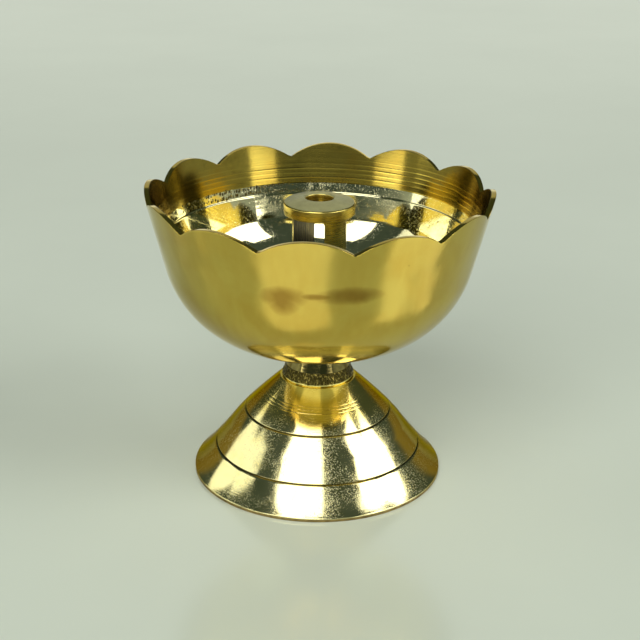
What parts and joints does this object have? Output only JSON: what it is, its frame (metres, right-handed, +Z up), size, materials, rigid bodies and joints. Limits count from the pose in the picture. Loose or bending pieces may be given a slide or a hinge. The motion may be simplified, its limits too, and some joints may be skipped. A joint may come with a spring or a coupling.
{
  "type": "diya",
  "caption": "Small turned brass oil lamp: lotus bowl with a scalloped rim and a slotted wick holder, on a hollow bell foot.",
  "frame": {"origin": "centre of the foot's base, on the surface that the lamp stands on", "axes": "+Z up along the axis that every piece is turned about; -Y is the front as pictured"},
  "size_m": [0.0758, 0.0758, 0.0665],
  "materials": {
    "mirror_brass": "turned and mirror polished",
    "satin_brass": "soft satin polish with faint tool rings inside",
    "turned_brass": "as turned, dull, with fine rings",
    "dark_brass": "unpolished, darkened, with chatter marks"
  },
  "bodies": {
    "stand": {"foot": "mirror_brass", "neck_collar": "dark_brass", "centre_stud": "dark_brass", "foot_washer": "turned_brass", "foot_nut": "turned_brass"},
    "bowl": {"bowl": "satin_brass"},
    "wick_holder": {"wick_holder": "turned_brass"}
  },
  "joints": [
    {"name": "bowl_lift", "type": "slide", "parent": "stand", "child": "bowl", "axis": [0, 0, 1], "range_m": [0, 0.03]},
    {"name": "wick_holder_lift", "type": "slide", "parent": "bowl", "child": "wick_holder", "axis": [0, 0, 1], "range_m": [0, 0.045]}
  ]
}
